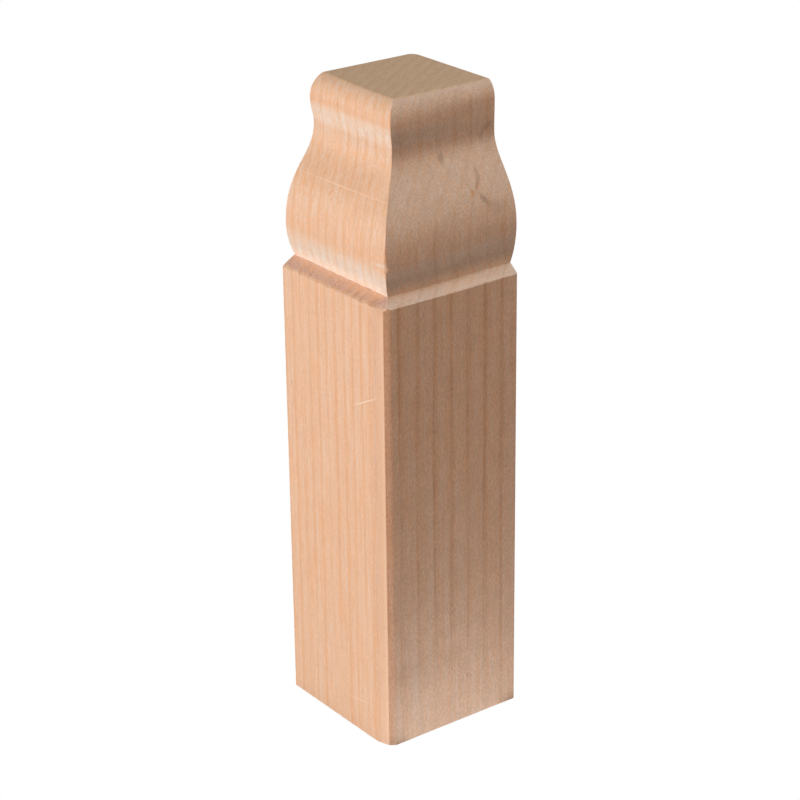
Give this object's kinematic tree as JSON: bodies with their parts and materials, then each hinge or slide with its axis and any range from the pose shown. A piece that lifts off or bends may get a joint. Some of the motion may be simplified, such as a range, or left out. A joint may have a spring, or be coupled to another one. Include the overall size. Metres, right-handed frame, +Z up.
{
  "type": "skirting board trim block",
  "caption": "Square wooden block for an inside corner: skirting boards butt against its two moulded faces, whose bulb, cove and nose stand above them.",
  "frame": {"origin": "middle of the block's underside", "axes": "+Z up along the grain; the moulded room-side faces look along -Y and +X, and the flat wall faces along -X and +Y"},
  "size_m": [0.0286, 0.0286, 0.1143],
  "materials": {
    "pale_wood": "bare, smoothly planed wood with straight upright grain; end grain on the top"
  },
  "bodies": {
    "root": {"trim_block": "pale_wood"}
  },
  "joints": []
}
